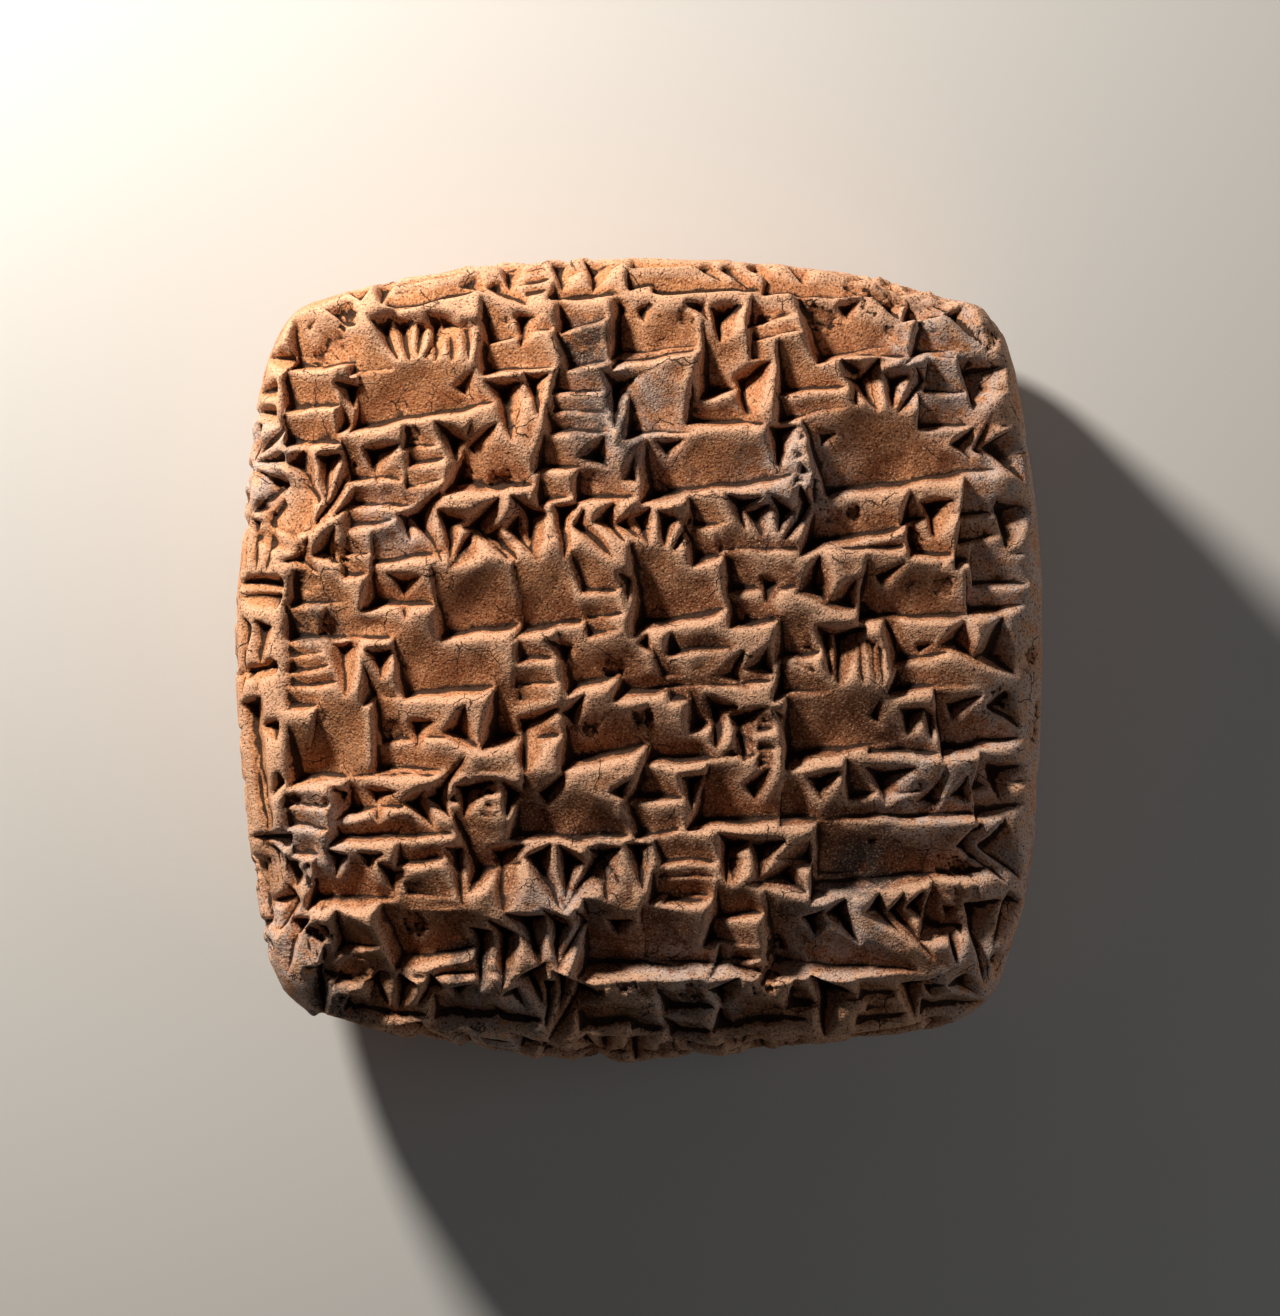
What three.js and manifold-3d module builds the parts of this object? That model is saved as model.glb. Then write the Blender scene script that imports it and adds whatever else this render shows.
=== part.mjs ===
// A clay tablet, pillow-shaped and nearly square, with rows of wedge strokes pressed into every side.
// Millimetres, +Z up. It lies on its reverse with the written face up; the origin is the middle of
// the small flat spot that it rests on, and +Y runs towards the upper edge of the writing.

import * as THREE from "three";
import { mergeVertices } from "three/addons/utils/BufferGeometryUtils.js";
import Module from "manifold-3d";

// ---- The body of the tablet ----
const HALF_WIDTH = 25.0;
const HALF_HEIGHT = 24.65;
const HALF_THICKNESS = 8.7;
const SIDE_BOW = 0.15; // share by which the four sides draw in towards the corners
const FACE_BOW = 0.16; // how far the written face is domed
const BACK_BOW = 0.24; // the reverse is domed more
const CORNER_POWER = 22; // the higher, the sharper the four corners in plan
const ROLL_POWER = 5; // the higher, the sharper the turn from a face to its edge
const ROLL_BY_HEIGHT = 1.2; // the upper edge turns sharply and the lower edge softly
const ROLL_BY_WIDTH = 0.6; // the right edge turns more sharply than the left
const WAVE = 0.006; // unevenness left by the hands, as a share of the half width
const FOOT_DEPTH = 0.32; // clay flattened where the soft tablet lay on its reverse
const BODY_STEPS = [14, 14, 6]; // divisions along the width, the height and the thickness

// ---- The writing ----
const ROW_PITCH = 4.15;
const EDGE_INSET = 8; // the edges are written round an axis this far in from the sides
const CUT_RISE = 0.9; // height that a cutter stands above the clay
const LEAST_CUT = 1.05; // strokes shallower than this are too fine for this solid
const BARE_SPOT = 2.2; // radius left unpressed in the middle of the flat spot
const MOST_DEPTH = 0.42; // of a stroke, as a share of its length
const SEED = 5;

const CLAY = { color: 0xb9794f, roughness: 0.92, metalness: 0 };

const wasm = await Module();
wasm.setup();

// A small generator of even random numbers, the same on every run.
class Dice {
  constructor(seed) {
    this.state = seed;
  }
  next() {
    this.state = (Math.imul(this.state, 1664525) + 1013904223) >>> 0;
    return this.state / 4294967296;
  }
  between(low, high) {
    return low + (high - low) * this.next();
  }
}

// ---- The form ----

// Below 1 inside the clay, 1 on its skin and above 1 outside. The middle of the tablet is at 0, 0, 0.
function level(p) {
  const u = p.x / HALF_WIDTH;
  const v = p.y / HALF_HEIGHT;
  const w = p.z / HALF_THICKNESS;
  const bow = w > 0 ? FACE_BOW : BACK_BOW;
  const across = Math.abs(u) / (1 - SIDE_BOW * v * v);
  const along = Math.abs(v) / (1 - SIDE_BOW * u * u);
  const plan = (across ** CORNER_POWER + along ** CORNER_POWER) ** (1 / CORNER_POWER);
  const rise = Math.abs(w) / (1 - bow * (u * u + v * v) / 2);
  const roll = ROLL_POWER + ROLL_BY_HEIGHT * v + ROLL_BY_WIDTH * u;
  const wave = Math.sin(p.x / 3.7 + 0.6) * Math.sin(p.y / 4.3 + 1.1) + 0.6 * Math.sin((p.x + p.y) / 2.9 + p.z / 3);
  return (plan ** roll + rise ** roll) ** (1 / roll) + WAVE * wave;
}

// The point of the skin that is met from an inner point in a direction.
function skinFrom(inner, direction) {
  let near = 0;
  let far = 2 * HALF_WIDTH;
  for (let i = 0; i < 40; i++) {
    const middle = (near + far) / 2;
    if (level(inner.clone().addScaledVector(direction, middle)) < 1) near = middle;
    else far = middle;
  }
  return inner.clone().addScaledVector(direction, near);
}

function normalAt(p) {
  const step = 0.01;
  const slope = (x, y, z) =>
    level(new THREE.Vector3(p.x + x, p.y + y, p.z + z)) - level(new THREE.Vector3(p.x - x, p.y - y, p.z - z));
  return new THREE.Vector3(slope(step, 0, 0), slope(0, step, 0), slope(0, 0, step)).normalize();
}

// A point pulled in until it is inside the outline in plan.
function insidePlan(x, y) {
  const out = level(new THREE.Vector3(x, y, 0));
  const scale = Math.min(1, 0.965 / out);
  return new THREE.Vector3(x * scale, y * scale, 0);
}

// Each written side: where (along the row, up the page) falls on the skin.
const SIDES = {
  obverse: (s, t) => skinFrom(insidePlan(s, t), new THREE.Vector3(0, 0, 1)),
  reverse: (s, t) => skinFrom(insidePlan(s, -t), new THREE.Vector3(0, 0, -1)),
  lower: (s, t) => {
    const turn = t / EDGE_INSET;
    const inner = new THREE.Vector3(s, EDGE_INSET - HALF_HEIGHT, 0);
    return skinFrom(inner, new THREE.Vector3(0, -Math.cos(turn), Math.sin(turn)));
  },
  upper: (s, t) => {
    const turn = t / EDGE_INSET;
    const inner = new THREE.Vector3(s, HALF_HEIGHT - EDGE_INSET, 0);
    return skinFrom(inner, new THREE.Vector3(0, Math.cos(turn), -Math.sin(turn)));
  },
  left: (s, t) => {
    const turn = t / EDGE_INSET;
    const inner = new THREE.Vector3(EDGE_INSET - HALF_WIDTH, -s, 0);
    return skinFrom(inner, new THREE.Vector3(-Math.cos(turn), 0, Math.sin(turn)));
  },
};

// ---- One stroke ----

const radians = (degrees) => (degrees * Math.PI) / 180;

// A stroke is a three-sided hollow: deepest near its head, with a valley that rises to its tip.
// Left of the valley the clay slopes gently (gentle), right of it steeply (steep), and the
// head wall (head) may be askew. Angles are in degrees.
function placeStroke(side, s, t, angle, length, depth, gentle, steep, head, askew) {
  const start = SIDES[side](s, t);
  const end = SIDES[side](s + length * Math.cos(radians(angle)), t + length * Math.sin(radians(angle)));
  const axis = end.clone().sub(start);
  const reach = axis.length();
  axis.divideScalar(reach);
  const up = normalAt(start).add(normalAt(end));
  up.addScaledVector(axis, -up.dot(axis)).normalize();
  return {
    start,
    axis,
    across: new THREE.Vector3().crossVectors(up, axis),
    up,
    reach,
    depth: Math.min(depth, MOST_DEPTH * reach),
    gentle: Math.tan(radians(gentle)),
    steep: Math.tan(radians(steep)),
    head: Math.tan(radians(head)),
    askew: radians(askew),
  };
}

// The solid that presses a stroke: a tetrahedron standing on its deepest point.
function cutterOf(stroke) {
  const { depth, gentle, steep, head, askew, reach } = stroke;
  const back = depth / head; // from the head to the deepest point
  const fall = -depth / (reach - back);
  const walls = [
    [fall, -gentle],
    [fall, steep],
    [head * Math.cos(askew), -head * Math.sin(askew)],
  ];
  const rise = -(depth + CUT_RISE);
  // Where two walls meet at the cutter's top.
  const meet = ([a, b], [c, d]) => {
    const size = a * d - b * c;
    return [(rise * (d - b)) / size, (rise * (a - c)) / size, CUT_RISE];
  };
  const corners = [meet(walls[0], walls[1]), meet(walls[0], walls[2]), meet(walls[1], walls[2]), [0, 0, -depth]];
  const points = corners.map(([u, v, w]) =>
    stroke.start
      .clone()
      .addScaledVector(stroke.axis, back + u)
      .addScaledVector(stroke.across, v)
      .addScaledVector(stroke.up, w),
  );
  const shape = new THREE.BufferGeometry().setFromPoints(points);
  shape.setIndex([0, 1, 2, 1, 0, 3, 2, 1, 3, 0, 2, 3]);
  return shape;
}

// ---- Groups of strokes ----

// Each group fills a box w wide and h high whose left middle is at (s, t). They are made-up
// clusters in the manner of wedge writing, and spell nothing.
function groupsFor(dice, put) {
  const j = (low, high) => dice.between(low, high);
  const count = (w, each) => Math.max(1, Math.floor(w / each + 0.5));
  return [
    {
      name: "stack",
      weight: 6,
      width: [3.6, 6.0],
      make(s, t, w, h) {
        const n = 2 + Math.floor(2.4 * dice.next());
        for (let i = 0; i < n; i++) {
          put(s + j(-0.1, 0.5), t + h * (0.5 - (i + 0.85) / (n + 0.1)), 4, w * j(0.85, 1.15), 2.6 / (n + 0.3), 34);
        }
        if (dice.next() < 0.6) put(s + w * j(0.6, 0.9), t + h * 0.5, -86, h * 0.9, 1.35, 45);
      },
    },
    {
      name: "pillars",
      weight: 2.2,
      width: [2.4, 5.0],
      make(s, t, w, h) {
        const n = count(w, 1.9);
        for (let i = 0; i < n; i++) {
          put(s + (w * (i + 0.2)) / n, t + h * j(0.3, 0.55), -85, h * j(0.7, 0.98), 1.35, 45);
        }
      },
    },
    {
      name: "long",
      weight: 3.6,
      width: [5.0, 11],
      make(s, t, w, h) {
        put(s, t - h * j(0.2, 0.34), 5, w * 1.15, 1.4, 28);
        if (dice.next() < 0.7) put(s + w * j(0, 0.4), t + h * 0.42, -70, h * 0.6, 1.2, 43);
        if (dice.next() < 0.5) put(s + w * j(0.4, 0.8), t + h * 0.45, -50, h * 0.5, 1.0, 43);
      },
    },
    {
      name: "comb",
      weight: 2,
      width: [3.0, 4.2],
      make(s, t, w, h) {
        const n = 5;
        const lying = dice.next() < 0.6;
        put(s, t + h * 0.5, -86, h * 0.95, 1.3, 46);
        for (let i = 0; i < n; i++) {
          const step = i / (n - 1);
          if (lying) put(s + w * 0.34, t + h * (0.3 - 0.66 * step), 2, w * 0.6, 0.36, 44, 60, 60);
          else put(s + w * (0.3 + 0.55 * step), t + h * 0.32, -80, h * 0.66, 0.36, 44, 60, 60);
        }
        if (lying) put(s + w * 0.92, t + h * 0.48, -89, h * 0.95, 1.3, 46);
      },
    },
    {
      name: "hooks",
      weight: 1.2,
      width: [2.3, 4.4],
      make(s, t, w, h) {
        const n = count(w, 1.9);
        for (let i = 0; i < n; i++) {
          put(s + (w * (i + 0.1)) / n, t + h * j(0, 0.4), -40, 2.7, 1.4, 44, 56, 60);
        }
      },
    },
    {
      name: "fan",
      weight: 1.6,
      width: [3.6, 5.0],
      make(s, t, w, h) {
        const n = dice.next() < 0.5 ? 3 : 4;
        for (let i = 0; i < n; i++) {
          const aside = 0.95 * w * (0.5 - i / (n - 1));
          const drop = h * j(0.8, 0.95);
          const angle = (Math.atan2(-drop, aside) * 180) / Math.PI;
          put(s + 0.5 * w - aside, t - 0.45 * h + drop, angle, 0.95 * Math.hypot(aside, drop), 1.25, 44);
        }
      },
    },
    {
      name: "cross",
      weight: 2.6,
      width: [4.0, 6.0],
      make(s, t, w, h) {
        put(s, t + h * 0.12, 4, w * 1.1, 1.2, 31);
        put(s + w * 0.42, t + h * 0.5, -86, h * 0.95, 1.4, 45);
        if (dice.next() < 0.6) put(s, t - h * 0.32, 3, w * 0.95, 1.1, 30);
      },
    },
    {
      name: "slant",
      weight: 1.4,
      width: [2.6, 4.8],
      make(s, t, w, h) {
        const n = count(w, 1.3);
        for (let i = 0; i < n; i++) {
          put(s + (w * i) / n, t + h * j(0.3, 0.42), -44, h * 0.8, 1.05, 43);
        }
      },
    },
  ];
}

// ---- Rows ----

// Fills one row of a side, from start to end, with groups chosen by the dice, never the same twice running.
function pressRow(dice, strokes, side, { start, end, middle, slope, height, force }) {
  const j = (low, high) => dice.between(low, high);
  const put = (s, t, angle, length, depth, gentle, steep = 71, head = 72) => {
    strokes.push(
      placeStroke(
        side,
        s + j(-0.2, 0.2),
        t + j(-0.25, 0.25),
        angle + j(-7, 7),
        length * j(0.85, 1.15),
        depth * force * j(0.82, 1.18),
        gentle * j(0.85, 1.15),
        steep * j(0.92, 1.06),
        head * j(0.9, 1.1),
        j(-8, 24),
      ),
    );
  };
  const groups = groupsFor(dice, put);
  const total = groups.reduce((sum, group) => sum + group.weight, 0);
  let s = start + j(-0.3, 0.3);
  let sweep = start + j(0, 5);
  while (sweep < end - 8) {
    const reach = j(8, 14);
    const low = middle + slope * sweep - height * j(0.22, 0.4);
    put(sweep, low, 2.5, Math.min(reach, end - sweep), 1.3, 30);
    sweep += reach * j(1.2, 2);
  }
  let last = null;
  while (s < end - 2) {
    let group = last;
    while (group === last) {
      let left = dice.next() * total;
      for (const candidate of groups) {
        group = candidate;
        left -= candidate.weight;
        if (left <= 0) break;
      }
    }
    last = group;
    const w = Math.min(j(group.width[0], group.width[1]), end - s + 0.6);
    group.make(s, middle + slope * s + j(-0.35, 0.35), w, height * j(0.9, 1.1));
    s += w * 0.82;
  }
}

// Every stroke of the tablet, side by side in the order of writing.
function writing() {
  const dice = new Dice(SEED);
  const strokes = [];
  const rows = (side, n, row) => {
    for (let i = 0; i < n; i++) {
      pressRow(dice, strokes, side, { slope: 0, height: ROW_PITCH, force: 1, ...row(i) });
    }
  };
  rows("obverse", 10, (i) => ({
    start: -21.8,
    end: 21.6 + 0.25 * Math.min(i, 5),
    middle: 19.9 - ROW_PITCH * i,
    slope: 0.03,
    force: 1.5,
  }));
  rows("lower", 3, (i) => ({ start: -20, end: 20 - i, middle: 7.2 - 4 * i }));
  rows("reverse", 5, (i) => ({
    start: -20.5,
    end: 20.5,
    middle: 17.6 - 1.08 * ROW_PITCH * i,
    slope: -0.02,
    height: 1.05 * ROW_PITCH,
    force: 0.8,
  }));
  rows("upper", 3, (i) => ({ start: -18, end: 15, middle: 1.2 - 3.6 * i, height: 3.6, force: 0.6 }));
  rows("left", 3, (i) => ({ start: -18.5, end: 18.5, middle: 5.6 - 3.8 * i, height: 3.8, force: 0.6 }));
  return strokes;
}

// ---- Solids ----

function solidOf(geometry) {
  const bare = geometry.clone();
  for (const name of Object.keys(bare.attributes)) {
    if (name !== "position") bare.deleteAttribute(name);
  }
  const merged = mergeVertices(bare, 1e-4);
  return new wasm.Manifold(
    new wasm.Mesh({
      numProp: 3,
      vertProperties: new Float32Array(merged.attributes.position.array),
      triVerts: new Uint32Array(merged.index.array),
    }),
  );
}

function geometryOf(solid) {
  const mesh = solid.getMesh();
  const geometry = new THREE.BufferGeometry();
  geometry.setAttribute("position", new THREE.Float32BufferAttribute(mesh.vertProperties, 3));
  geometry.setIndex(new THREE.Uint32BufferAttribute(mesh.triVerts, 1));
  geometry.computeVertexNormals();
  return geometry;
}

// The uninscribed pillow: a box grid blown out to the skin.
function pillow() {
  const box = new THREE.BoxGeometry(2, 2, 2, ...BODY_STEPS);
  const position = box.attributes.position;
  const centre = new THREE.Vector3();
  for (let i = 0; i < position.count; i++) {
    const ray = new THREE.Vector3().fromBufferAttribute(position, i);
    ray.multiply(new THREE.Vector3(HALF_WIDTH, HALF_HEIGHT, HALF_THICKNESS)).normalize();
    const p = skinFrom(centre, ray);
    position.setXYZ(i, p.x, p.y, p.z);
  }
  return box;
}

function tablet() {
  const floor = new THREE.BoxGeometry(2 * HALF_WIDTH, 2 * HALF_HEIGHT, HALF_THICKNESS);
  floor.translate(0, 0, FOOT_DEPTH - 1.5 * HALF_THICKNESS);
  const clearOfFoot = ({ start, up }) => up.z > -0.9 || Math.hypot(start.x, start.y) > BARE_SPOT;
  const cutters = writing()
    .filter((stroke) => stroke.depth >= LEAST_CUT)
    .filter(clearOfFoot)
    .map((stroke) => solidOf(cutterOf(stroke)));
  const pressed = solidOf(pillow()).subtract(wasm.Manifold.union(cutters)).subtract(solidOf(floor));
  const geometry = geometryOf(pressed);
  geometry.translate(0, 0, HALF_THICKNESS - FOOT_DEPTH);
  const mesh = new THREE.Mesh(geometry, new THREE.MeshStandardMaterial(CLAY));
  mesh.name = "clay_tablet";
  return mesh;
}

const part = new THREE.Group();
part.add(tablet());

export default part;
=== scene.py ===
"""A cuneiform clay tablet, laid out as an add-on and run as a script.

The tablet lies on its reverse with the written face up (+Z), its rows running along +X and the
top of the page towards +Y. Sizes inside the making are in millimetres; the finished mesh is in
metres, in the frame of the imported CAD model.
"""

import math

import bpy
import numpy as np
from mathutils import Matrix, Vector


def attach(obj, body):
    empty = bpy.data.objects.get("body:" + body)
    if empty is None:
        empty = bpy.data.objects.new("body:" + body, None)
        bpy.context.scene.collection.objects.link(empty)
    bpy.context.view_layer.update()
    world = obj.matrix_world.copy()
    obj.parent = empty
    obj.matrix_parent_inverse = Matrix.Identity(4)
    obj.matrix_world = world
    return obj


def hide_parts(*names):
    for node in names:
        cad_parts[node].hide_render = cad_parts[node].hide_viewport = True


bl_info = {
    "name": "Cuneiform tablet",
    "version": (1, 0, 0),
    "blender": (4, 5, 0),
    "location": "3D View > Sidebar > Tablet",
    "description": "Makes a small clay tablet pressed with rows of wedge strokes",
    "category": "Add Mesh",
}

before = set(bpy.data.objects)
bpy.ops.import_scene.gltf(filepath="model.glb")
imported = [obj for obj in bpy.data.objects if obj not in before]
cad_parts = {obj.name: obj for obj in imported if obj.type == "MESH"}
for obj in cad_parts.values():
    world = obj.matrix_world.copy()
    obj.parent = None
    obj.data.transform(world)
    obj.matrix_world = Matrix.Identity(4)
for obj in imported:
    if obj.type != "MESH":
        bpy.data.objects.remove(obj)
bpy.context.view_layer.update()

# ---- The form of the body, as in the CAD ----
SIDE_BOW = 0.15  # share by which the four sides draw in towards the corners
FACE_BOW = 0.16  # how far the written face is domed
BACK_BOW = 0.24  # the reverse is domed more
CORNER_POWER = 22  # the higher, the sharper the four corners in plan
ROLL_POWER = 5.0  # the higher, the sharper the turn from a face to its edge
ROLL_BY_HEIGHT = 1.2  # the upper edge turns sharply and the lower edge softly
ROLL_BY_WIDTH = 0.6  # the right edge turns more sharply than the left
WAVE = 0.006  # unevenness left by the hands, as a share of the half width
FOOT_DEPTH = 0.32  # clay flattened where the soft tablet lay on its reverse

# ---- The strokes ----
EDGE_INSET = 8  # the edges are written round an axis this far in from the sides
MOST_DEPTH = 0.42  # of a stroke, as a share of its length
LIP_HEIGHT = 0.18  # clay pushed up beside a stroke, as a share of its depth
LIP_REACH = 0.8  # how far the lip dies away, as a share of the depth
TOOL_REACH = 3  # skin further than this above or below a stroke is on another side
UNEVEN = 0.055  # how far pressed lines wander

# ---- The mesh ----
GRID_STEP = 0.125  # spacing of the first, fine grid on the skin
TRIANGLES = 194000  # what the finished piece is thinned to
RIDGE_KEEP = 0.3  # share of a ridge's sharpness that is left
RELIEFS = (("fine_relief", 0.16), ("broad_relief", 0.55))  # attributes, and the width each looks over

# ---- The stage, in metres ----
CAMERA_HEIGHT = 0.5  # above the top of the tablet
TOP = 0.017
OUTLINE_DROP = 0.0085  # the widest outline lies this far below the top
VIEW_WIDTH = 0.082  # what the camera takes in across the widest outline
SENSOR = 36
FLOOR_REACH = 0.6
# Name, azimuth and elevation in degrees, distance, size, watts and colour.
LAMPS = (
    ("key", 128, 27, 0.19, 0.03, 0.6, (1, 0.95, 0.88)),
    ("fill", -8, 28, 0.3, 0.2, 0.11, (0.95, 0.96, 1)),
)


class Dice:
    """A small generator of even random numbers, the same on every run."""

    def __init__(self, seed):
        self.state = seed

    def next(self):
        self.state = (self.state * 1664525 + 1013904223) & 0xFFFFFFFF
        return self.state / 4294967296

    def between(self, low, high):
        return low + (high - low) * self.next()


# ---- The body ----


class Body:
    """The smooth pillow of clay before writing, in millimetres about its own middle."""

    def __init__(self, width, height, thickness):
        self.half = np.array([width, height, thickness]) / 2

    def level(self, p):
        """Below 1 inside the clay, 1 on its skin and above 1 outside."""
        u, v, w = (p / self.half).T
        bow = np.where(w > 0, FACE_BOW, BACK_BOW)
        across = np.abs(u) / (1 - SIDE_BOW * v * v)
        along = np.abs(v) / (1 - SIDE_BOW * u * u)
        plan = (across**CORNER_POWER + along**CORNER_POWER) ** (1 / CORNER_POWER)
        rise = np.abs(w) / (1 - bow * (u * u + v * v) / 2)
        roll = ROLL_POWER + ROLL_BY_HEIGHT * v + ROLL_BY_WIDTH * u
        x, y, z = p.T
        wave = np.sin(x / 3.7 + 0.6) * np.sin(y / 4.3 + 1.1) + 0.6 * np.sin((x + y) / 2.9 + z / 3)
        return (plan**roll + rise**roll) ** (1 / roll) + WAVE * wave

    def skin(self, inner, direction):
        """The points of the skin met from inner points in given directions."""
        near = np.zeros(len(inner))
        far = np.full(len(inner), 2 * self.half[0])
        for _ in range(30):  # halvings, far finer than the mesh
            middle = (near + far) / 2
            inside = self.level(inner + direction * middle[:, None]) < 1
            near = np.where(inside, middle, near)
            far = np.where(inside, far, middle)
        return inner + direction * near[:, None]

    def normal(self, p):
        """The outward direction of the skin at points on it."""
        step = 0.01
        slope = np.stack(
            [self.level(p + step * axis) - self.level(p - step * axis) for axis in np.eye(3)], axis=1
        )
        return unit(slope)

    def page(self, side, s, t):
        """The points of the skin at s along the rows and t up the page of a written side."""
        zero = np.zeros_like(s)
        turn = t / EDGE_INSET
        if side in ("obverse", "reverse"):
            flip = 1 if side == "obverse" else -1
            flat = np.stack([s, flip * t, zero], axis=1)
            # A place past the rim is drawn in to just inside it.
            flat *= np.minimum(1, 0.965 / self.level(flat))[:, None]
            return self.skin(flat, np.tile([0.0, 0.0, flip], (len(s), 1)))
        if side == "left":
            inner = np.stack([zero + EDGE_INSET - self.half[0], -s, zero], axis=1)
            return self.skin(inner, np.stack([-np.cos(turn), zero, np.sin(turn)], axis=1))
        flip = 1 if side == "upper" else -1
        inner = np.stack([s, zero + flip * (self.half[1] - EDGE_INSET), zero], axis=1)
        return self.skin(inner, np.stack([zero, flip * np.cos(turn), -flip * np.sin(turn)], axis=1))


def unit(v):
    return v / np.linalg.norm(v, axis=-1, keepdims=True)


# ---- The writing ----


def write_groups(dice, put):
    """Makers of stroke groups as (weight, least width, most width, maker).

    Each maker fills a box w wide and h high whose left middle is at (s, t). They are made-up
    clusters in the manner of wedge writing, and spell nothing. put takes a stroke's start, its
    angle in degrees, its length and depth in mm, and the slope of its gentle facet in degrees;
    the slopes of its steep facet and head wall may follow.
    """
    vary = dice.between

    def count(w, each):
        return max(1, math.floor(w / each + 0.5))

    def stack(s, t, w, h):
        n = 2 + math.floor(2.4 * dice.next())
        for i in range(n):
            left = s + vary(-0.1, 0.5)
            put(left, t + h * (0.5 - (i + 0.85) / (n + 0.1)), 4, w * vary(0.85, 1.15), 2.6 / (n + 0.3), 34)
        if dice.next() < 0.6:
            put(s + w * vary(0.6, 0.9), t + h * 0.5, -86, h * 0.9, 1.35, 45)

    def pillars(s, t, w, h):
        n = count(w, 1.9)
        for i in range(n):
            put(s + (w * (i + 0.2)) / n, t + h * vary(0.3, 0.55), -85, h * vary(0.7, 0.98), 1.35, 45)

    def long(s, t, w, h):
        put(s, t - h * vary(0.2, 0.34), 5, w * 1.15, 1.4, 28)
        if dice.next() < 0.7:
            put(s + w * vary(0, 0.4), t + h * 0.42, -70, h * 0.6, 1.2, 43)
        if dice.next() < 0.5:
            put(s + w * vary(0.4, 0.8), t + h * 0.45, -50, h * 0.5, 1.0, 43)

    def comb(s, t, w, h):
        n = 5
        lying = dice.next() < 0.6
        put(s, t + h * 0.5, -86, h * 0.95, 1.3, 46)
        for i in range(n):
            step = i / (n - 1)
            if lying:
                put(s + w * 0.34, t + h * (0.3 - 0.66 * step), 2, w * 0.6, 0.36, 44, 60, 60)
            else:
                put(s + w * (0.3 + 0.55 * step), t + h * 0.32, -80, h * 0.66, 0.36, 44, 60, 60)
        if lying:
            put(s + w * 0.92, t + h * 0.48, -89, h * 0.95, 1.3, 46)

    def hooks(s, t, w, h):
        n = count(w, 1.9)
        for i in range(n):
            put(s + (w * (i + 0.1)) / n, t + h * vary(0, 0.4), -40, 2.7, 1.4, 44, 56, 60)

    def fan(s, t, w, h):
        n = 3 if dice.next() < 0.5 else 4
        for i in range(n):
            aside = 0.95 * w * (0.5 - i / (n - 1))
            drop = h * vary(0.8, 0.95)
            angle = math.degrees(math.atan2(-drop, aside))
            put(s + 0.5 * w - aside, t - 0.45 * h + drop, angle, 0.95 * math.hypot(aside, drop), 1.25, 44)

    def cross(s, t, w, h):
        put(s, t + h * 0.12, 4, w * 1.1, 1.2, 31)
        put(s + w * 0.42, t + h * 0.5, -86, h * 0.95, 1.4, 45)
        if dice.next() < 0.6:
            put(s, t - h * 0.32, 3, w * 0.95, 1.1, 30)

    def slant(s, t, w, h):
        n = count(w, 1.3)
        for i in range(n):
            put(s + (w * i) / n, t + h * vary(0.3, 0.42), -44, h * 0.8, 1.05, 43)

    return [
        (6, 3.6, 6.0, stack),
        (2.2, 2.4, 5.0, pillars),
        (3.6, 5.0, 11, long),
        (2, 3.0, 4.2, comb),
        (1.2, 2.3, 4.4, hooks),
        (1.6, 3.6, 5.0, fan),
        (2.6, 4.0, 6.0, cross),
        (1.4, 2.6, 4.8, slant),
    ]


def press_row(dice, strokes, start, end, middle, height, slope=0, force=1):
    """Fills a row with groups chosen by the dice, never the same twice running."""
    vary = dice.between

    def put(s, t, angle, length, depth, gentle, steep=71, head=72):
        strokes.append(
            (
                s + vary(-0.2, 0.2),
                t + vary(-0.25, 0.25),
                angle + vary(-7, 7),
                length * vary(0.85, 1.15),
                depth * force * vary(0.82, 1.18),
                gentle * vary(0.85, 1.15),
                steep * vary(0.92, 1.06),
                head * vary(0.9, 1.1),
                vary(-8, 24),
            )
        )

    groups = write_groups(dice, put)
    total = sum(group[0] for group in groups)
    s = start + vary(-0.3, 0.3)
    sweep = start + vary(0, 5)
    while sweep < end - 8:
        reach = vary(8, 14)
        under = middle + slope * sweep - height * vary(0.22, 0.4)
        put(sweep, under, 2.5, min(reach, end - sweep), 1.3, 30)
        sweep += reach * vary(1.2, 2.0)
    last = None
    while s < end - 2:
        group = last
        while group is last:
            left = dice.next() * total
            for candidate in groups:
                group = candidate
                left -= candidate[0]
                if left <= 0:
                    break
        last = group
        _, low, high, make = group
        w = min(vary(low, high), end - s + 0.6)
        make(s, middle + slope * s + vary(-0.35, 0.35), w, height * vary(0.9, 1.1))
        s += w * 0.82


def write_tablet(seed, pitch):
    """All strokes, as {side: list of stroke settings}, in the order of writing."""
    dice = Dice(seed)
    sides = {side: [] for side in ("obverse", "lower", "reverse", "upper", "left")}
    for i in range(10):
        end = 21.6 + 0.25 * min(i, 5)
        press_row(dice, sides["obverse"], -21.8, end, 19.9 - pitch * i, pitch, slope=0.03, force=1.5)
    for i in range(3):
        press_row(dice, sides["lower"], -20, 20 - i, 7.2 - 4.0 * i, pitch)
    for i in range(5):
        middle = 17.6 - 1.08 * pitch * i
        press_row(dice, sides["reverse"], -20.5, 20.5, middle, 1.05 * pitch, slope=-0.02, force=0.8)
    for i in range(3):
        press_row(dice, sides["upper"], -18, 15, 1.2 - 3.6 * i, 3.6, force=0.6)
    for i in range(3):
        press_row(dice, sides["left"], -18.5, 18.5, 5.6 - 3.8 * i, 3.8, force=0.6)
    return sides


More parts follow.
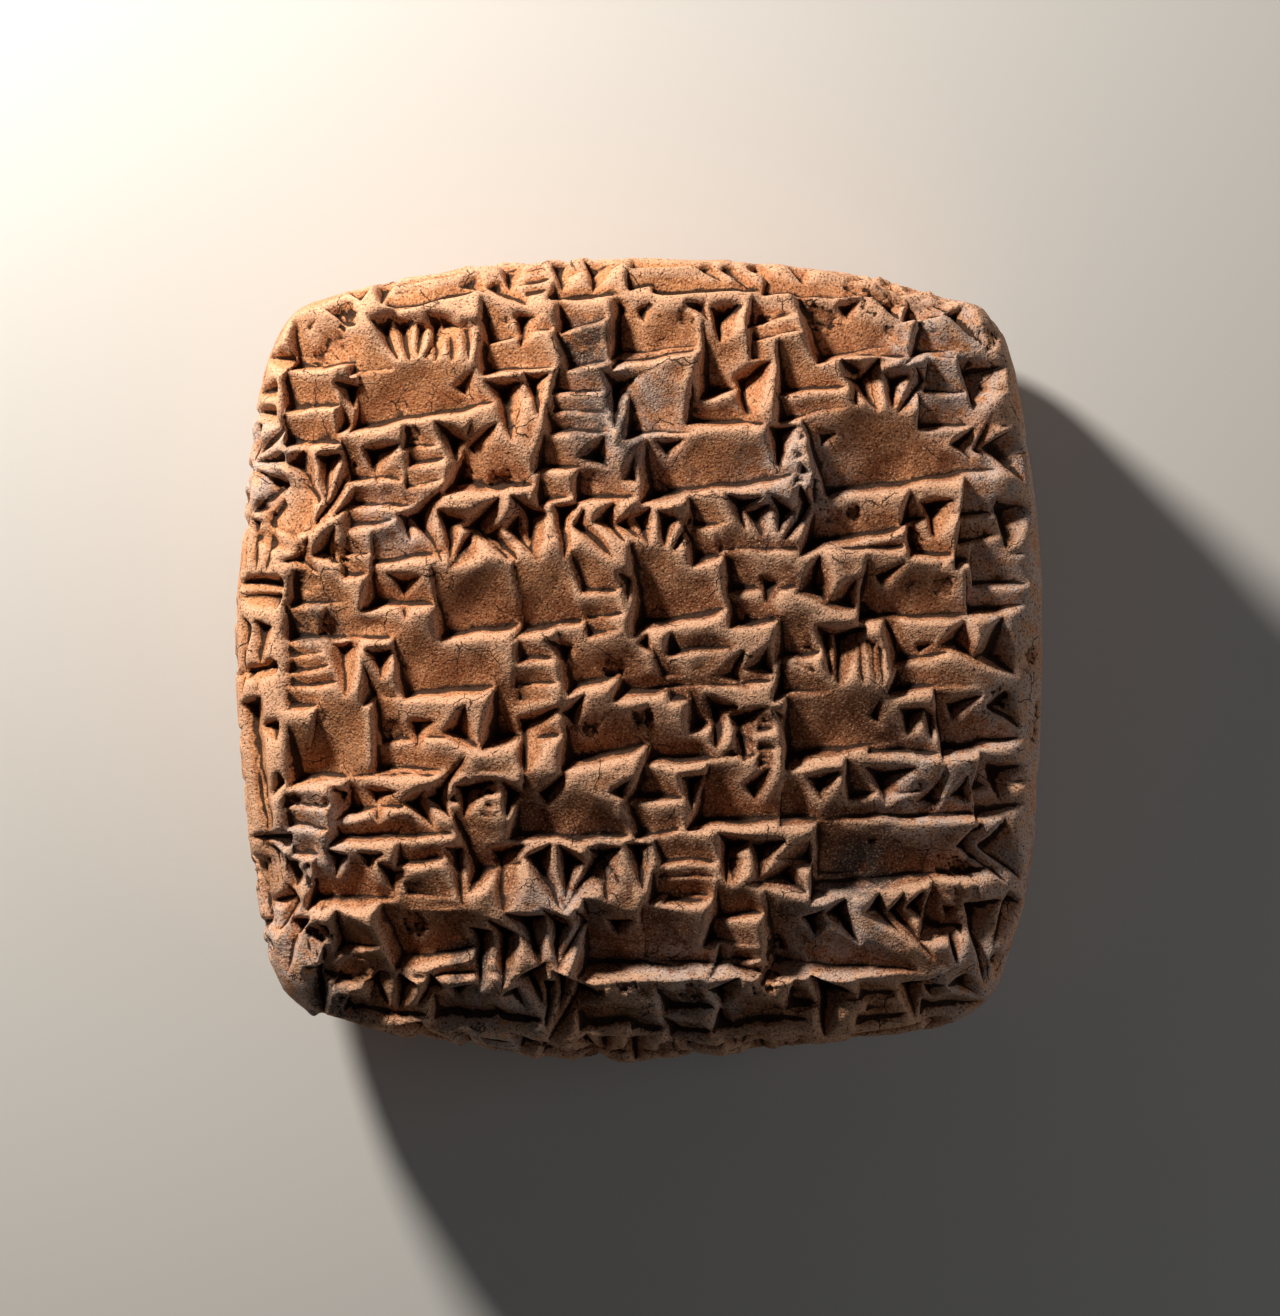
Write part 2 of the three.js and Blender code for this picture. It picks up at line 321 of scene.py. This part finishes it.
def unevenness(p):
    """A gentle bending of space, in mm, that keeps pressed lines from being ruler-straight."""
    x, y, z = p.T
    first = np.sin(y / 0.9 + 0.7 * x) + 0.7 * np.sin(y / 0.37 - x / 1.3 + 1) + 0.9 * np.sin(x / 1.7 + z)
    second = np.sin(x / 0.8 - 0.6 * y) + 0.7 * np.sin(x / 0.41 + y / 1.1 + 2) + 0.9 * np.sin(y / 1.9 - z)
    third = np.sin((x + y) / 1.2) + np.sin((x - y) / 0.7 + z)
    return UNEVEN * np.stack([first, second, third], axis=1)


def press_stroke(points, bend, stroke):
    """Presses one stroke into the skin: a three-sided hollow with a lip of clay raised round it."""
    start, axis, across, up, reach, depth, gentle, steep, head, askew = stroke
    around = reach / 2 + 3.5 * depth
    near = np.flatnonzero(np.abs(points - (start + axis * reach / 2)).max(axis=1) < around)
    p = points[near] + bend[near] - start
    u, v, w = p @ axis, p @ across, p @ up
    back = depth / head
    valley = depth * (1 - (u - back) / (reach - back))
    walls = np.minimum(valley - v * gentle, valley + v * steep)
    end_wall = depth - ((back - u) * math.cos(askew) + v * math.sin(askew)) * head
    hollow = np.minimum(walls, end_wall)
    beyond = np.maximum(np.maximum(-hollow, u - reach), 0)
    lip = LIP_HEIGHT * depth * np.exp(-beyond / (LIP_REACH * depth))
    moved = np.where(np.abs(w) < TOOL_REACH, np.minimum(w + lip, -hollow), w)
    points[near] += up * (moved - w)[:, None]


def place_strokes(body, side, settings):
    """Turns stroke settings on a page into hollows placed on the skin."""
    s, t, angle, length, depth, gentle, steep, head, askew = np.array(settings).T
    turn = np.radians(angle)
    start = body.page(side, s, t)
    end = body.page(side, s + length * np.cos(turn), t + length * np.sin(turn))
    reach = np.linalg.norm(end - start, axis=1)
    axis = unit(end - start)
    depth = np.minimum(depth, MOST_DEPTH * reach)
    up = body.normal(start) + body.normal(end)
    up = unit(up - axis * np.sum(up * axis, axis=1, keepdims=True))
    across = np.cross(up, axis)
    slopes = [np.tan(np.radians(a)) for a in (gentle, steep, head)]
    return list(zip(start, axis, across, up, reach, depth, *slopes, np.radians(askew)))


# Clay lost from the skin: the middle of each place, its reach and its depth, in mm.
CHIPS = (
    (25.2, -8.0, 1.5, 2.4, 1.0), (17.0, 22.6, 4.0, 3.0, 0.7), (20.3, 20.6, 3.5, 2.0, 0.6),
    (-21.9, 9.0, 7.0, 2.2, 0.6), (-22.8, -14.5, 4.5, 2.6, 0.7), (23.3, 13.0, 3.0, 1.8, 0.5),
    (-12.0, -23.6, 2.0, 1.8, 0.5), (9.0, -24.3, 1.0, 1.6, 0.45), (-3.0, 24.0, 2.5, 1.7, 0.4),
)
CRUMBLING = (17.5, 22.2, 3.0, 5.5)  # where the surface has broken up: its middle and reach
PITS = 170  # tiny losses scattered all over


def ragged(p, size):
    """An uneven value between about -1 and 1 that changes over a given size in mm."""
    x, y, z = (p / size).T
    first = np.sin(2.1 * x + 1.3 * y + 0.4) * np.sin(1.7 * y - 1.1 * z + 2)
    second = np.sin(3.7 * x - 2.9 * z + 1) * np.sin(4.1 * y + 2.3 * x)
    return 0.6 * first + 0.4 * second


def lose_clay(points, outward, dice):
    """Chips the edges, pits the skin and roughens the crumbling corner."""
    losses = list(CHIPS)
    for _ in range(PITS):
        middle = points[math.floor(dice.next() * len(points))]
        reach = dice.between(0.35, 0.9)
        losses.append((*middle, reach, reach * dice.between(0.2, 0.45)))
    for x, y, z, reach, depth in losses:
        gap = np.linalg.norm(points - (x, y, z), axis=1)
        near = np.flatnonzero(gap < 1.6 * reach)
        edge = gap[near] / reach + 0.35 * ragged(points[near], 0.45 * reach)
        share = np.clip(1.25 - edge, 0, 0.5) * 2
        points[near] -= outward[near] * (depth * share)[:, None]
    x, y, z, reach = CRUMBLING
    share = np.clip(1.6 - 1.6 * np.linalg.norm(points - (x, y, z), axis=1) / reach, 0, 1)
    points += outward * (0.24 * share * (ragged(points, 0.5) + 0.6 * ragged(points[:, ::-1], 0.27)))[:, None]


# ---- The skin as a mesh ----


def box_grid(nx, ny, nz):
    """A closed grid of quads on the box from -1 to 1: (points, quads), with shared corners."""
    counts = (nx, ny, nz)
    quads = []
    for fixed in range(3):
        a, b = [(1, 2), (2, 0), (0, 1)][fixed]
        for end in (0, 1):
            ia, ib = np.meshgrid(np.arange(counts[a] + 1), np.arange(counts[b] + 1), indexing="ij")
            key = np.zeros(ia.shape + (3,), dtype=np.int64)
            key[..., a], key[..., b], key[..., fixed] = ia, ib, end * counts[fixed]
            code = (key[..., 0] * (ny + 1) + key[..., 1]) * (nz + 1) + key[..., 2]
            corners = [code[:-1, :-1], code[1:, :-1], code[1:, 1:], code[:-1, 1:]]
            if not end:
                corners.reverse()
            quads.append(np.stack([c.ravel() for c in corners], axis=1))
    quads = np.concatenate(quads)
    codes, quads = np.unique(quads, return_inverse=True)
    quads = quads.reshape(-1, 4)
    z = codes % (nz + 1)
    y = codes // (nz + 1) % (ny + 1)
    x = codes // ((nz + 1) * (ny + 1))
    points = np.stack([x / nx, y / ny, z / nz], axis=1) * 2 - 1
    return points, quads


class Blur:
    """Averages values over the neighbours of each vertex of a mesh."""

    def __init__(self, edges, count):
        self.a = np.concatenate([edges[:, 0], edges[:, 1]])
        self.b = np.concatenate([edges[:, 1], edges[:, 0]])
        self.count = count
        self.share = 1 / np.bincount(self.a, minlength=count)

    def __call__(self, values, times=1):
        for _ in range(times):
            sums = [np.bincount(self.a, weights=c[self.b], minlength=self.count) for c in values.T]
            values = np.stack(sums, axis=1) * self.share[:, None]
        return values


def edges_of(quads):
    pairs = np.concatenate([quads[:, [0, 1]], quads[:, [1, 2]], quads[:, [2, 3]], quads[:, [3, 0]]])
    return np.unique(np.sort(pairs, axis=1), axis=0)


def soften_ridges(points, outward, blur, step, wear):
    """Wears the ridges round and leaves the valleys crisp."""
    for width in (wear, wear * 0.45):
        times = max(1, round(2 * (width / step) ** 2))
        worn = blur(points, times)
        proud = np.sum((points - worn) * outward, axis=1) > 0
        points = np.where(proud[:, None], worn + RIDGE_KEEP * (points - worn), points)
    return points + 0.35 * (blur(points) - points)


def mesh_from(name, points, faces):
    mesh = bpy.data.meshes.new(name)
    sides = faces.shape[1]
    mesh.vertices.add(len(points))
    mesh.vertices.foreach_set("co", (points / 1000).astype(np.float32).ravel())
    mesh.loops.add(faces.size)
    mesh.loops.foreach_set("vertex_index", faces.astype(np.int32).ravel())
    mesh.polygons.add(len(faces))
    mesh.polygons.foreach_set("loop_start", np.arange(0, faces.size, sides, dtype=np.int32))
    mesh.update(calc_edges=True)
    mesh.validate()
    return mesh


def settle(obj):
    """Swaps the object's mesh for what its modifiers make of it, and clears them."""
    view = bpy.context.evaluated_depsgraph_get()
    mesh = bpy.data.meshes.new_from_object(obj.evaluated_get(view))
    obj.modifiers.clear()
    old = obj.data
    obj.data = mesh
    bpy.data.meshes.remove(old)


def carve(settings):
    """The pressed and worn skin as a mesh in metres, with its lowest point at z = 0."""
    size = [1000 * v for v in (settings.width, settings.height, settings.thickness)]
    body = Body(*size)
    step = GRID_STEP
    grid, quads = box_grid(*[round(s / step * share) for s, share in zip(size, (1, 1, 0.8))])
    points = body.skin(np.zeros_like(grid), unit(grid * body.half))
    outward = body.normal(points)
    bend = unevenness(points)
    for side, strokes in write_tablet(settings.seed, 1000 * settings.row_pitch).items():
        for stroke in place_strokes(body, side, strokes):
            press_stroke(points, bend, stroke)
    blur = Blur(edges_of(quads), len(points))
    points = soften_ridges(points, outward, blur, step, 1000 * settings.ridge_wear)
    lose_clay(points, outward, Dice(settings.seed + 1))
    relief = {}
    for name, width in RELIEFS:
        level = blur(points, max(1, round(2 * (width / step) ** 2)))
        relief[name] = np.sum((points - level) * outward, axis=1)
    points[:, 2] = np.maximum(points[:, 2] + body.half[2] - FOOT_DEPTH, 0)
    mesh = mesh_from("tablet", points, quads)
    for name, values in relief.items():
        layer = mesh.attributes.new(name, "FLOAT", "POINT")
        layer.data.foreach_set("value", values.astype(np.float32))
    return mesh


# ---- Materials ----


def linear(hex_colour):
    """A colour written as sRGB hex, as the linear numbers that shaders use."""
    parts = [int(hex_colour[i : i + 2], 16) / 255 for i in (1, 3, 5)]
    return [p / 12.92 if p <= 0.04045 else ((p + 0.055) / 1.055) ** 2.4 for p in parts] + [1]


def add_node(tree, kind, inputs=None, **settings):
    """Adds a node with its properties, and gives each input named a value or a link."""
    node = tree.nodes.new(kind)
    for key, value in settings.items():
        setattr(node, key, value)
    for key, value in (inputs or {}).items():
        if isinstance(value, bpy.types.NodeSocket):
            tree.links.new(value, node.inputs[key])
        else:
            node.inputs[key].default_value = value
    return node


def weathering_tree():
    """A tree that roughens a surface along its normals, as handling and burial do."""
    tree = bpy.data.node_groups.new("weathering", "GeometryNodeTree")
    face = tree.interface
    face.new_socket("Geometry", in_out="INPUT", socket_type="NodeSocketGeometry")
    for name in ("Dent size", "Dent depth", "Grit size", "Grit depth", "Seed"):
        face.new_socket(name, in_out="INPUT", socket_type="NodeSocketFloat")
    face.new_socket("Material", in_out="INPUT", socket_type="NodeSocketMaterial")
    face.new_socket("Geometry", in_out="OUTPUT", socket_type="NodeSocketGeometry")
    given = add_node(tree, "NodeGroupInput").outputs
    lift = 0
    for mark in ("Dent", "Grit"):
        scale = add_node(tree, "ShaderNodeMath", {0: 1, 1: given[mark + " size"]}, operation="DIVIDE")
        noise = add_node(
            tree,
            "ShaderNodeTexNoise",
            {"Scale": scale.outputs[0], "W": given["Seed"], "Detail": 2},
            noise_dimensions="4D",
        )
        centred = add_node(tree, "ShaderNodeMath", {0: noise.outputs[0], 1: 0.5}, operation="SUBTRACT")
        lift = add_node(
            tree,
            "ShaderNodeMath",
            {0: centred.outputs[0], 1: given[mark + " depth"], 2: lift},
            operation="MULTIPLY_ADD",
        ).outputs[0]
    normal = add_node(tree, "GeometryNodeInputNormal").outputs[0]
    offset = add_node(tree, "ShaderNodeVectorMath", {0: normal, "Scale": lift}, operation="SCALE").outputs[0]
    moved = add_node(tree, "GeometryNodeSetPosition", {"Geometry": given["Geometry"], "Offset": offset})
    real = add_node(tree, "GeometryNodeRealizeInstances", {0: moved.outputs[0]})
    clad = add_node(
        tree, "GeometryNodeSetMaterial", {"Geometry": real.outputs[0], "Material": given["Material"]}
    )
    add_node(tree, "NodeGroupOutput", {0: clad.outputs[0]})
    return tree


def weather(obj, settings, material):
    """Roughens and clads a piece, and leaves it a plain mesh."""
    tree = weathering_tree()
    modifier = obj.modifiers.new("weathering", "NODES")
    modifier.node_group = tree
    values = {
        "Dent size": 0.0016,
        "Dent depth": settings.dent_depth,
        "Grit size": 0.0004,
        "Grit depth": settings.grit_depth,
        "Seed": 3.0,
        "Material": material,
    }
    for item in tree.interface.items_tree:
        if item.in_out == "INPUT" and item.name in values:
            modifier[item.identifier] = values[item.name]
    settle(obj)


# Noise by name: its size in mm, detail, roughness, drift in mm and distortion. Grit in fine clay is
# mostly under 0.06 mm; it is drawn at about 0.15 mm, the finest that shows.
NOISES = {
    "mottle": (7, 3, 0.6, 0, 0),
    "blotch": (1.3, 4, 0.65, 7, 0),
    "painted_shade_noise": (3, 4, 0.7, 31, 0),
    "painted_light_noise": (2, 4, 0.7, 37, 0),
    "ridge_noise": (0.8, 4, 0.7, 3, 0),
    "crust": (1.1, 6, 0.75, 11, 0.4),
    "seep": (1.6, 5, 0.7, 19, 0),
    "grit": (0.15, 2, 0.6, 23, 0),
    "gap": (2.2, 2, 0.5, 41, 0),
    "swell": (0.5, 3, 0.65, 53, 0),
    "grain": (0.14, 2, 0.6, 61, 0),
}

# Places where something clings to the clay or stains it, where shade is painted darker and where light is
# painted paler: across, up and reach in mm.
PLACES = {
    "bloomed": (
        (-1, 15, 6), (9.5, 11, 6), (19, 18, 7), (23, 11, 6), (23, 4, 6), (23.5, -4, 6), (23, -12, 6),
        (12, -17, 6), (18, -8, 6), (21, -20, 6), (-24, 12, 5), (-23, -19, 7), (-5, -16, 5), (3, -20, 6),
        (-15, 8, 4), (-20, -11, 5), (-9, -23, 6),
    ),
    "stained": (
        (-3, 19, 4), (3.5, 19.5, 2), (-2, 14, 5), (2, 11, 3), (-1, -12, 4), (-10, -19, 4), (14, -13, 4),
        (-19, -22, 4), (-20, 2, 3),
    ),
    # Painted shade: the middle and the lower right are made darker.
    "painted_shade_places": ((6, -2, 15), (12, -12, 14), (-5, -12, 12), (10, 6, 11), (2, -20, 12), (15, -3, 9)),
    # Painted light: the left and top edges are made paler.
    "painted_light_places": ((-23, 16, 12), (-24, 4, 12), (-23, -8, 10), (-14, 20, 12), (0, 24, 9), (22, 21, 8)),
}
PLACE_HEIGHT = 3.5  # level of the places' middles once heights are pressed flat
PLACE_FLATTENING = 0.3  # height counts for little, so that a place near a side runs on over its edge

# Covers by name: what each follows, the values between which it fades in, and its least and most.
COVERS = {
    "mottling": ("mottle", 0.35, 0.65, 0, 1),
    "blotching": ("blotch", 0.35, 0.7, 0, 1),
    # Painted shade, faded in unevenly.
    "painted_shade_fade": ("painted_shade_noise", 0.3, 0.6, 0.45, 1),
    # Painted light, faded in unevenly.
    "painted_light_fade": ("painted_light_noise", 0.35, 0.6, 0.15, 0.6),
    # Wear and painted highlight: the high relief is made paler.
    "ridges": ("worn", 0.05, 0.26, 0, 0.6),
    "bloom places": ("bloomed", 0, 0.7, 0, 1),
    "bloom crust": ("crust", 0.4, 0.56, 0, 1),
    "bloom ridges": ("broad_relief", -0.25, 0.1, 0.4, 0.92),
    "stain places": ("stained", 0, 0.7, 0, 1),
    "staining": ("seep", 0.4, 0.56, 0, 0.88),
    "pale specks": ("grit", 0.55, 0.68, 0, 0.55),
    "dark specks": ("grit", 0.46, 0.32, 0, 0.85),
    "hairlines": ("cell", 0.017, 0.003, 0, 1),
    "broken lines": ("gap", 0.52, 0.6, 0, 0.8),
    # Painted shade: the deepest parts of the fine relief are darkened, where shadow falls.
    "valleys": ("fine_relief", -0.012, -0.06, 0, 0.92),
}

# Colours laid one over another, each through the covers that it is multiplied by.
LAYERS = (
    ("light_clay", ("mottling",)),
    ("warm_clay", ("blotching",)),
    # Painted shade: darker brown over the middle and lower right.
    ("umber", ("painted_shade_places", "painted_shade_fade")),
    # Painted light: paler clay over the left and top edges.
    ("pale_clay", ("painted_light_places", "painted_light_fade")),
    # Ridges paler, partly from wear and partly as painted highlight.
    ("ridge_highlight_and_wear", ("ridges",)),
    ("bloom", ("bloom places", "bloom crust", "bloom ridges")),
    ("stain", ("stain places", "staining")),
    ("pale_grit", ("pale specks",)),
    ("dark_grit", ("dark specks",)),
    ("crack", ("hairlines", "broken lines")),
    # Painted shade in the valleys.
    ("painted_valley_shade", ("valleys",)),
)
CRACK_SPACING = 2.7  # mm between drying cracks
RIDGE_COLOUR_UNEVENNESS = 0.12  # mm by which the paler ridge colour, wear and painted highlight, misses or oversteps the ridges
BUMPS = (("swell", 0.09), ("grain", 0.09), ("crack", -0.1125))  # mm of height


def clay_material(settings):
    """Dry or lightly fired fine clay, pressed wet and left as it dried.

    That makes it matt and warm brown, gritty and crossed by hairline drying cracks. Its ridges are
    paler, partly where hands wore them and partly as painted highlight; painted shade darkens its
    valleys, its middle and its lower right, and painted light makes its left and top edges paler.
    """
    material = bpy.data.materials.new("dry river clay")
    material.use_nodes = True
    tree = material.node_tree
    shader = tree.nodes["Principled BSDF"]
    shader.inputs["Roughness"].default_value = 0.92
    shader.inputs["Specular IOR Level"].default_value = 0.2
    place = add_node(tree, "ShaderNodeTexCoord").outputs["Object"]
    mm = add_node(tree, "ShaderNodeVectorMath", {0: place, "Scale": 1000}, operation="SCALE").outputs[0]

    signal = {}
    for name, _ in RELIEFS:
        signal[name] = add_node(tree, "ShaderNodeAttribute", attribute_name=name).outputs["Fac"]
    for name, (size, detail, roughness, drift, warp) in NOISES.items():
        shift = (drift, 2 * drift, -drift)
        moved = add_node(tree, "ShaderNodeVectorMath", {0: mm, 1: shift}, operation="ADD")
        inputs = {"Vector": moved.outputs[0], "Scale": 1 / size, "Detail": detail}
        inputs.update({"Roughness": roughness, "Distortion": warp})
        signal[name] = add_node(tree, "ShaderNodeTexNoise", inputs).outputs[0]
    # High relief, with some noise; the ridges get their wear and painted highlight from it.
    signal["worn"] = add_node(
        tree,
        "ShaderNodeMath",
        {0: signal["ridge_noise"], 1: RIDGE_COLOUR_UNEVENNESS, 2: signal["broad_relief"]},
        operation="MULTIPLY_ADD",
    ).outputs[0]

    low = add_node(
        tree, "ShaderNodeVectorMath", {0: mm, 1: (1, 1, PLACE_FLATTENING)}, operation="MULTIPLY"
    ).outputs[0]
    for name, spots in PLACES.items():
        nearest = 0
        for x, y, reach in spots:
            gap = add_node(
                tree, "ShaderNodeVectorMath", {0: low, 1: (x, y, PLACE_HEIGHT)}, operation="DISTANCE"
            ).outputs["Value"]
            near = add_node(
                tree,
                "ShaderNodeMapRange",
                {"Value": gap, "From Min": reach, "From Max": 0},
                interpolation_type="SMOOTHSTEP",
            ).outputs["Result"]
            both = add_node(tree, "ShaderNodeMath", {0: near, 1: nearest}, operation="MAXIMUM")
            nearest = both.outputs[0]
        signal[name] = nearest

    # Cracks wander, so their cells are read from places pushed about by a noise.
    push = add_node(tree, "ShaderNodeTexNoise", {"Vector": mm, "Scale": 0.9, "Detail": 4})
    bent = add_node(tree, "ShaderNodeVectorMath", {0: mm, 1: push.outputs["Color"]}, operation="ADD")
    signal["cell"] = add_node(
        tree,
        "ShaderNodeTexVoronoi",
        {"Vector": bent.outputs[0], "Scale": 1 / CRACK_SPACING},
        feature="DISTANCE_TO_EDGE",
    ).outputs["Distance"]

    for name, (source, start, stop, least, most) in COVERS.items():
        inputs = {"Value": signal[source], "From Min": start, "From Max": stop}
        inputs.update({"To Min": least, "To Max": most})
        fade = add_node(tree, "ShaderNodeMapRange", inputs, interpolation_type="SMOOTHSTEP")
        signal[name] = fade.outputs["Result"]

    colour = settings.dark_clay
    for name, covers in LAYERS:
        cover = 1
        for factor in covers:
            times = add_node(tree, "ShaderNodeMath", {0: signal[factor], 1: cover}, operation="MULTIPLY")
            cover = times.outputs[0]
        signal[name] = cover
        inputs = {0: cover, 6: colour, 7: getattr(settings, name)}
        colour = add_node(tree, "ShaderNodeMix", inputs, data_type="RGBA").outputs[2]
    tree.links.new(colour, shader.inputs["Base Color"])

    height = 0
    for name, rise in BUMPS:
        inputs = {0: signal[name], 1: rise, 2: height}
        height = add_node(tree, "ShaderNodeMath", inputs, operation="MULTIPLY_ADD").outputs[0]
    metres = add_node(tree, "ShaderNodeMath", {0: height, 1: 0.001}, operation="MULTIPLY").outputs[0]
    bump = add_node(tree, "ShaderNodeBump", {"Height": metres, "Strength": 1, "Distance": 1})
    tree.links.new(bump.outputs[0], shader.inputs["Normal"])
    return material


# ---- Settings ----


class TabletSettings(bpy.types.PropertyGroup):
    width: bpy.props.FloatProperty(
        name="Width",
        description="Along the rows",
        default=0.05,
        unit="LENGTH",
        precision=5,
    )
    height: bpy.props.FloatProperty(
        name="Height",
        description="Across the rows",
        default=0.0493,
        unit="LENGTH",
        precision=5,
    )
    thickness: bpy.props.FloatProperty(
        name="Thickness",
        description="Before the resting spot is flattened",
        default=0.0174,
        unit="LENGTH",
        precision=5,
    )
    row_pitch: bpy.props.FloatProperty(
        name="Row pitch",
        description="From one row of writing to the next",
        default=0.00415,
        unit="LENGTH",
        precision=5,
    )
    ridge_wear: bpy.props.FloatProperty(
        name="Ridge wear",
        description="How wide the ridges between strokes are worn round",
        default=0.00024,
        unit="LENGTH",
        precision=5,
    )
    dent_depth: bpy.props.FloatProperty(
        name="Dent depth",
        description="Of the dents left by handling",
        default=0.00013,
        unit="LENGTH",
        precision=5,
    )
    grit_depth: bpy.props.FloatProperty(
        name="Grit depth",
        description="Of the grains that stand out of the skin",
        default=0.00007,
        unit="LENGTH",
        precision=5,
    )
    seed: bpy.props.IntProperty(name="Seed", description="Chooses and varies the strokes", default=5)
    dark_clay: bpy.props.FloatVectorProperty(
        name="Dark clay",
        description="The clay where it is dark",
        default=linear("#935a38"),
        subtype="COLOR",
        size=4,
    )
    light_clay: bpy.props.FloatVectorProperty(
        name="Light clay",
        description="The clay where it is light",
        default=linear("#bb774c"),
        subtype="COLOR",
        size=4,
    )
    warm_clay: bpy.props.FloatVectorProperty(
        name="Warm clay",
        description="Small warm blotches",
        default=linear("#cb8b5f"),
        subtype="COLOR",
        size=4,
    )
    # Painted shade: the darker brown laid over the middle and lower right of the tablet.
    umber: bpy.props.FloatVectorProperty(
        name="Umber",
        description="Clay that has soaked dark",
        default=linear("#653c27"),
        subtype="COLOR",
        size=4,
    )
    # Painted light: the paler clay laid over the left and top edges.
    pale_clay: bpy.props.FloatVectorProperty(
        name="Pale clay",
        description="Clay bleached by light and hands",
        default=linear("#d3925f"),
        subtype="COLOR",
        size=4,
    )
    # Partly wear and partly painted highlight: the paler colour on the tops of the ridges.
    ridge_highlight_and_wear: bpy.props.FloatVectorProperty(
        name="Rubbed clay",
        description="The worn tops of ridges",
        default=linear("#e6b796"),
        subtype="COLOR",
        size=4,
    )
    bloom: bpy.props.FloatVectorProperty(
        name="Bloom",
        description="Salts that have dried on the skin",
        default=linear("#bfa699"),
        subtype="COLOR",
        size=4,
    )
    stain: bpy.props.FloatVectorProperty(
        name="Stain",
        description="Blue-grey stains",
        default=linear("#554c47"),
        subtype="COLOR",
        size=4,
    )
    pale_grit: bpy.props.FloatVectorProperty(
        name="Pale grit",
        description="Light grains",
        default=linear("#e9c3a0"),
        subtype="COLOR",
        size=4,
    )
    dark_grit: bpy.props.FloatVectorProperty(
        name="Dark grit",
        description="Dark grains",
        default=linear("#2e1a10"),
        subtype="COLOR",
        size=4,
    )
    crack: bpy.props.FloatVectorProperty(
        name="Crack",
        description="Inside the drying cracks",
        default=linear("#22130c"),
        subtype="COLOR",
        size=4,
    )
    # Painted shade: near-black colour laid into the valleys, where shadow falls.
    painted_valley_shade: bpy.props.FloatVectorProperty(
        name="Dirt",
        description="Dirt caught in the valleys",
        default=linear("#1f130c"),
        subtype="COLOR",
        size=4,
    )


class TABLET_OT_clay(bpy.types.Operator):
    """Makes the tablet"""

    bl_idname = "tablet.clay"
    bl_label = "Clay tablet"

    def execute(self, context):
        settings = context.scene.tablet_settings
        mesh = carve(settings)
        obj = bpy.data.objects.new("clay_tablet_surface", mesh)
        context.scene.collection.objects.link(obj)
        share = TRIANGLES / (2 * len(mesh.polygons))
        if share < 1:
            thin = obj.modifiers.new("thin", "DECIMATE")
            thin.ratio = share
            settle(obj)
        weather(obj, settings, clay_material(settings))
        if not obj.data.polygons:
            raise RuntimeError("the tablet came out empty")
        obj.data.shade_smooth()
        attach(obj, "root")
        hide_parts("clay_tablet")
        return {"FINISHED"}


def add_floor(scene):
    """A plain pale sheet of matt paper."""
    r = FLOOR_REACH
    mesh = bpy.data.meshes.new("floor")
    mesh.from_pydata([(-r, -r, 0), (r, -r, 0), (r, r, 0), (-r, r, 0)], [], [(0, 1, 2, 3)])
    floor = bpy.data.objects.new("floor", mesh)
    material = bpy.data.materials.new("paper")
    material.use_nodes = True
    shader = material.node_tree.nodes["Principled BSDF"]
    shader.inputs["Base Color"].default_value = linear("#d8d5d0")
    shader.inputs["Roughness"].default_value = 0.9
    mesh.materials.append(material)
    scene.collection.objects.link(floor)


def add_lamp(scene, name, azimuth, elevation, distance, size, power, colour):
    """A round soft lamp that shines at the tablet's foot."""
    data = bpy.data.lights.new(name, "AREA")
    data.shape = "DISK"
    data.size = size
    data.energy = power
    data.color = colour
    lamp = bpy.data.objects.new(name, data)
    a, e = math.radians(azimuth), math.radians(elevation)
    spot = Vector((math.cos(a) * math.cos(e), math.sin(a) * math.cos(e), math.sin(e))) * distance
    lamp.location = spot
    lamp.rotation_euler = spot.to_track_quat("Z", "Y").to_euler()
    scene.collection.objects.link(lamp)


class TABLET_OT_stage(bpy.types.Operator):
    """Makes the floor, the lights and the camera"""

    bl_idname = "tablet.stage"
    bl_label = "Stage"

    def execute(self, context):
        scene = context.scene
        scene.view_settings.view_transform = "Standard"
        add_floor(scene)
        for lamp in LAMPS:
            add_lamp(scene, *lamp)
        world = bpy.data.worlds.new("studio")
        world.use_nodes = True
        world.node_tree.nodes["Background"].inputs["Color"].default_value = (0.9, 0.95, 1, 1)
        world.node_tree.nodes["Background"].inputs["Strength"].default_value = 0.024
        scene.world = world

        data = bpy.data.cameras.new("camera")
        data.sensor_width = SENSOR
        data.lens = SENSOR * (CAMERA_HEIGHT + OUTLINE_DROP) / VIEW_WIDTH
        data.clip_end = 10
        camera = bpy.data.objects.new("camera", data)
        camera.location = (0, 0, CAMERA_HEIGHT + TOP)
        scene.collection.objects.link(camera)
        scene.camera = camera
        return {"FINISHED"}


class TABLET_PT_panel(bpy.types.Panel):
    bl_label = "Tablet"
    bl_space_type = "VIEW_3D"
    bl_region_type = "UI"
    bl_category = "Tablet"

    def draw(self, context):
        settings = context.scene.tablet_settings
        for name in TabletSettings.__annotations__:
            self.layout.prop(settings, name)
        for operator in (TABLET_OT_clay, TABLET_OT_stage):
            self.layout.operator(operator.bl_idname)


CLASSES = (TabletSettings, TABLET_OT_clay, TABLET_OT_stage, TABLET_PT_panel)


def register():
    for cls in CLASSES:
        bpy.utils.register_class(cls)
    bpy.types.Scene.tablet_settings = bpy.props.PointerProperty(type=TabletSettings)


def unregister():
    del bpy.types.Scene.tablet_settings
    for cls in reversed(CLASSES):
        bpy.utils.unregister_class(cls)


def main():
    register()
    bpy.ops.tablet.clay()
    bpy.ops.tablet.stage()


if __name__ == "__main__":
    main()
